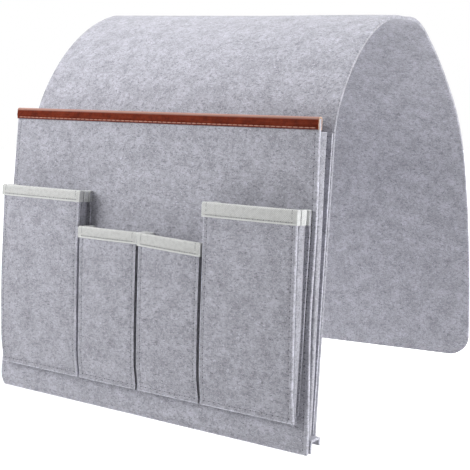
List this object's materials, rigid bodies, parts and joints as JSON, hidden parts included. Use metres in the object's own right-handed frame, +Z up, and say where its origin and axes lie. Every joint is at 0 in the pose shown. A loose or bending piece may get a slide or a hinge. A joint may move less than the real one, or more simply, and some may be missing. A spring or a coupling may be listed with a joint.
{
  "type": "armrest organizer",
  "caption": "Felt saddle-shaped armrest organizer that hangs over a sofa or chair arm, with a large leather-edged pocket and a row of small gusseted pockets on its front.",
  "frame": {"origin": "middle of the flat underside at the top of the arch, where it rests on the arm", "axes": "+X runs across the sheet along the arm, +Y from the pocket side to the back flap, +Z up"},
  "size_m": [0.326, 0.4, 0.3755],
  "materials": {
    "felt": "light blue-grey mottled wool-type felt, matt",
    "tape": "light grey woven binding tape, matt",
    "leather": "red-brown leather, satin",
    "thread": "pale grey sewing thread"
  },
  "bodies": {
    "saddle": {"sheet_saddle": "felt"},
    "front_leg": {"sheet_front_leg": "felt", "panel_gusset_left": "felt", "panel_gusset_right": "felt", "panel_floor": "felt"},
    "panel": {"pocket_panel": "felt", "leather_binding": "leather", "leather_stitching": "thread", "panel_stitching": "thread", "wide_left_gusset_left": "felt", "wide_left_gusset_right": "felt", "wide_left_tape_left": "tape", "wide_left_tape_right": "tape", "wide_left_floor": "felt", "narrow_left_gusset_left": "felt", "narrow_left_gusset_right": "felt", "narrow_left_tape_left": "tape", "narrow_left_tape_right": "tape", "narrow_left_floor": "felt", "narrow_right_gusset_left": "felt", "narrow_right_gusset_right": "felt", "narrow_right_tape_left": "tape", "narrow_right_tape_right": "tape", "narrow_right_floor": "felt", "wide_right_gusset_left": "felt", "wide_right_gusset_right": "felt", "wide_right_tape_left": "tape", "wide_right_tape_right": "tape", "wide_right_floor": "felt"},
    "wide_left_cover": {"wide_left_front": "felt", "wide_left_tape": "tape", "wide_left_stitching": "thread"},
    "narrow_left_cover": {"narrow_left_front": "felt", "narrow_left_tape": "tape", "narrow_left_stitching": "thread"},
    "narrow_right_cover": {"narrow_right_front": "felt", "narrow_right_tape": "tape", "narrow_right_stitching": "thread"},
    "wide_right_cover": {"wide_right_front": "felt", "wide_right_tape": "tape", "wide_right_stitching": "thread"},
    "back_flap": {"sheet_back_flap": "felt"}
  },
  "joints": [
    {"name": "front_leg_flex", "type": "hinge", "parent": "saddle", "child": "front_leg", "pos_m": [0, -0.11024, -0.0492], "axis": [-0.9997, 0.0222, -0.005], "range_deg": [-15, 80], "stiffness_Nm_per_rad": 0.0942, "springref_deg": 79.98},
    {"name": "back_flap_flex", "type": "hinge", "parent": "saddle", "child": "back_flap", "pos_m": [0, 0.09506, -0.04156], "axis": [0.9997, -0.0034, -0.0227], "range_deg": [-15, 80], "stiffness_Nm_per_rad": 0.049, "springref_deg": 80.04},
    {"name": "large_pocket_open", "type": "hinge", "parent": "front_leg", "child": "panel", "pos_m": [0, -0.18287, -0.33182], "axis": [1, 0, 0], "range_deg": [-2.3, 5], "stiffness_Nm_per_rad": 1, "springref_deg": 0.39, "deforming": ["panel_gusset_left", "panel_gusset_right", "panel_floor"]},
    {"name": "wide_left_pocket_open", "type": "hinge", "parent": "panel", "child": "wide_left_cover", "pos_m": [0, -0.1908, -0.31659], "axis": [1, 0, 0], "range_deg": [-4, 4], "stiffness_Nm_per_rad": 0.15, "springref_deg": -0.05, "deforming": ["wide_left_gusset_left", "wide_left_gusset_right", "wide_left_tape_left", "wide_left_tape_right", "wide_left_floor"]},
    {"name": "narrow_left_pocket_open", "type": "hinge", "parent": "panel", "child": "narrow_left_cover", "pos_m": [0, -0.1908, -0.31659], "axis": [1, 0, 0], "range_deg": [-4, 4], "stiffness_Nm_per_rad": 0.15, "springref_deg": -0.03, "deforming": ["narrow_left_gusset_left", "narrow_left_gusset_right", "narrow_left_tape_left", "narrow_left_tape_right", "narrow_left_floor"]},
    {"name": "narrow_right_pocket_open", "type": "hinge", "parent": "panel", "child": "narrow_right_cover", "pos_m": [0, -0.1908, -0.31659], "axis": [1, 0, 0], "range_deg": [-4, 4], "stiffness_Nm_per_rad": 0.15, "springref_deg": -0.03, "deforming": ["narrow_right_gusset_left", "narrow_right_gusset_right", "narrow_right_tape_left", "narrow_right_tape_right", "narrow_right_floor"]},
    {"name": "wide_right_pocket_open", "type": "hinge", "parent": "panel", "child": "wide_right_cover", "pos_m": [0, -0.1908, -0.31659], "axis": [1, 0, 0], "range_deg": [-4, 4], "stiffness_Nm_per_rad": 0.15, "springref_deg": -0.05, "deforming": ["wide_right_gusset_left", "wide_right_gusset_right", "wide_right_tape_left", "wide_right_tape_right", "wide_right_floor"]}
  ]
}
